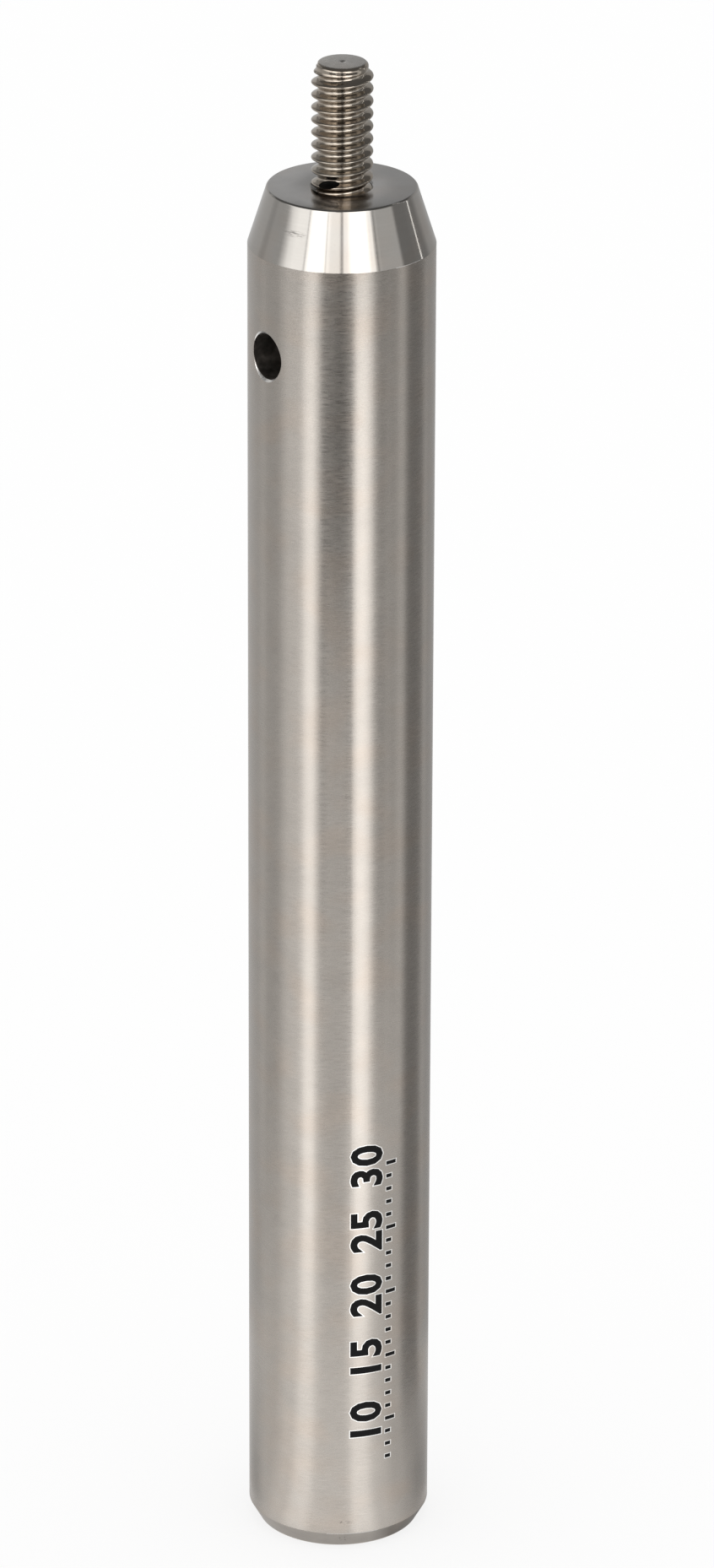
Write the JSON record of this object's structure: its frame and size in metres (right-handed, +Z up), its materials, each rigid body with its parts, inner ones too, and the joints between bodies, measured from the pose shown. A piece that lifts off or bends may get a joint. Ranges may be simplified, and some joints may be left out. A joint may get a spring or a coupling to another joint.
{
  "type": "optical post",
  "caption": "Slim round steel post with a steep cone and a threaded stud at the top, a cross hole below it and a tapped hole in the foot.",
  "frame": {"origin": "centre of the foot's flat face, where the post stands", "axes": "+Z up along the rod's axis towards the stud, X along the cross hole"},
  "size_m": [0.0126, 0.0126, 0.1087],
  "materials": {
    "satin_steel": "turned and finely brushed round the axis, with a brighter polished cone and shoulder",
    "stud_steel": "rolled thread, smooth and slightly warm"
  },
  "bodies": {
    "root": {"post_body": "satin_steel", "threaded_stud": "stud_steel"}
  },
  "joints": []
}
